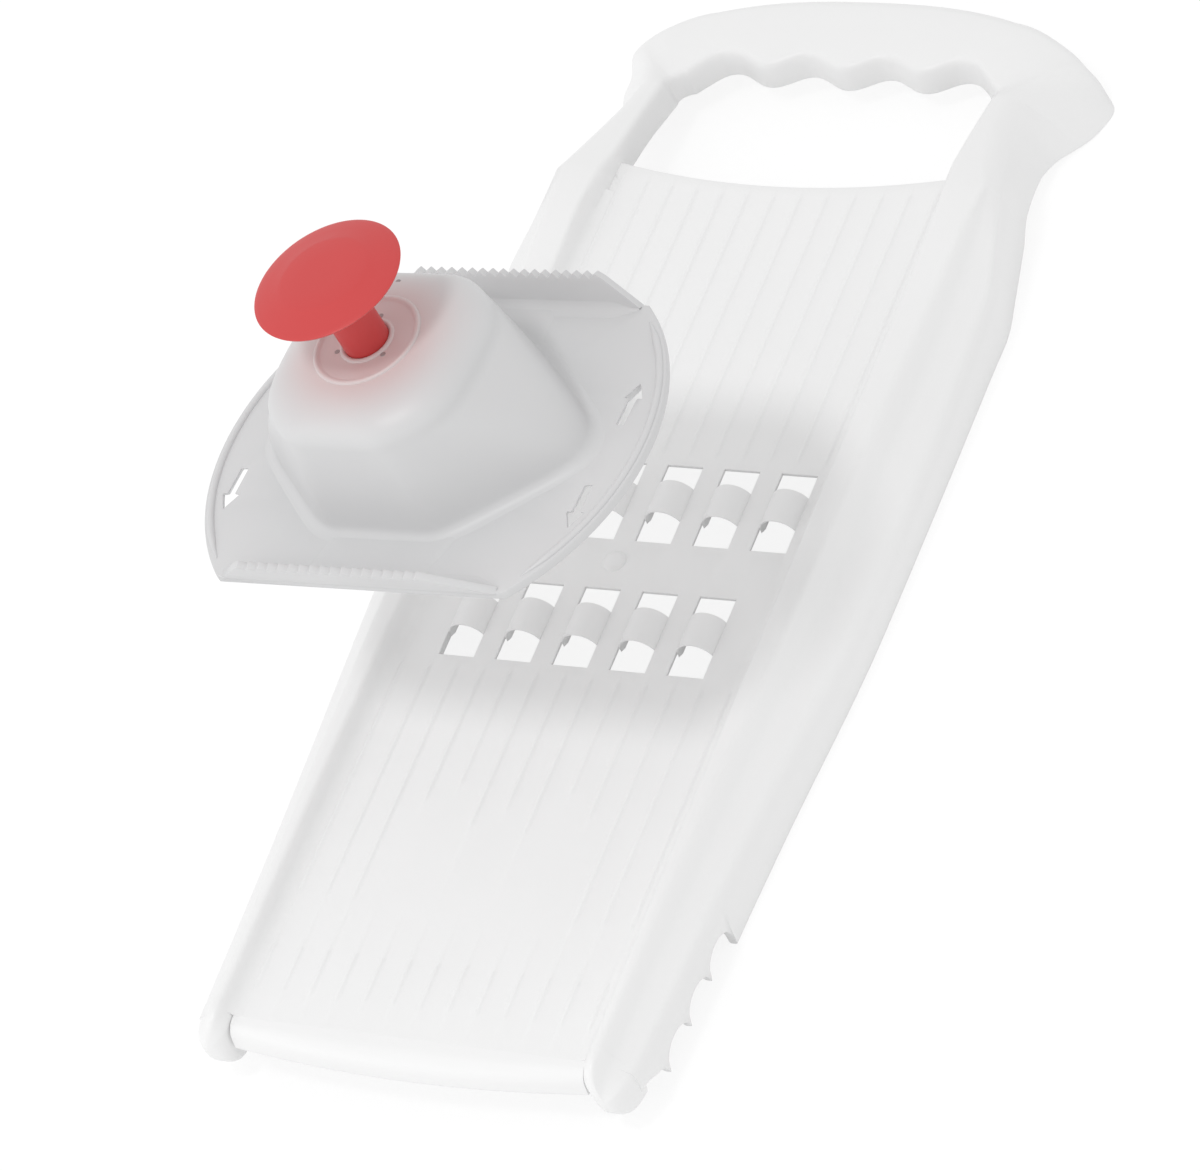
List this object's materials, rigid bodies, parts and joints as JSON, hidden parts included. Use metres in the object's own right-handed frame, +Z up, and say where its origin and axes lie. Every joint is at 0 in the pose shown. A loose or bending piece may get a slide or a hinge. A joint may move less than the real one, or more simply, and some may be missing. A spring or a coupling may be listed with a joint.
{
  "type": "mandoline slicer",
  "caption": "Flat julienne slicer board with raised half-round cutters and a waved hand grip, with a hat-shaped food holder and a mushroom pusher.",
  "frame": {"origin": "centre of the footprint, on the surface that the board's ground edges rest on", "axes": "+Y along the board towards the hand grip, +X to the right seen from the foot end, +Z up out of the sliding deck"},
  "size_m": [0.1436, 0.343, 0.1721],
  "materials": {
    "board_plastic": "satin white moulded plastic",
    "holder_plastic": "satin translucent white plastic",
    "pusher_plastic": "matte red moulded plastic"
  },
  "bodies": {
    "board": {"lower_deck": "board_plastic", "upper_deck": "board_plastic", "middle_band": "board_plastic", "centre_boss": "board_plastic", "lower_webs": "board_plastic", "upper_webs": "board_plastic", "lower_arch_1": "board_plastic", "lower_arch_2": "board_plastic", "lower_arch_3": "board_plastic", "lower_arch_4": "board_plastic", "lower_arch_5": "board_plastic", "upper_arch_1": "board_plastic", "upper_arch_2": "board_plastic", "upper_arch_3": "board_plastic", "upper_arch_4": "board_plastic", "upper_arch_5": "board_plastic", "upper_arch_6": "board_plastic", "left_rail": "board_plastic", "right_rail": "board_plastic", "left_skirt": "board_plastic", "right_skirt": "board_plastic", "left_hem": "board_plastic", "right_hem": "board_plastic", "front_lip": "board_plastic", "left_foot": "board_plastic", "right_foot": "board_plastic", "left_arm": "board_plastic", "right_arm": "board_plastic", "hand_grip": "board_plastic", "left_wing": "board_plastic", "right_wing": "board_plastic"},
    "holder": {"holder_brim": "holder_plastic", "holder_dome": "holder_plastic", "neck_ring": "holder_plastic", "front_fence": "holder_plastic", "rear_fence": "holder_plastic", "rim_beads": "holder_plastic"},
    "stem": {"pusher_stem": "pusher_plastic"},
    "pusher_head": {"pusher_knob": "pusher_plastic", "plunger_disc": "pusher_plastic", "food_pins": "pusher_plastic"}
  },
  "joints": [
    {"name": "holder_slide", "type": "slide", "parent": "board", "child": "holder", "axis": [0, 1, 0], "range_m": [-0.06, 0.105]},
    {"name": "pusher_travel", "type": "slide", "parent": "holder", "child": "stem", "axis": [-0.0929, 0.0253, 0.9953], "range_m": [-0.0135, 0]},
    {"name": "pusher_spin", "type": "hinge", "parent": "stem", "child": "pusher_head", "pos_m": [-0.00418, -0.05468, 0.15649], "axis": [-0.0929, 0.0253, 0.9953], "continuous": true}
  ]
}
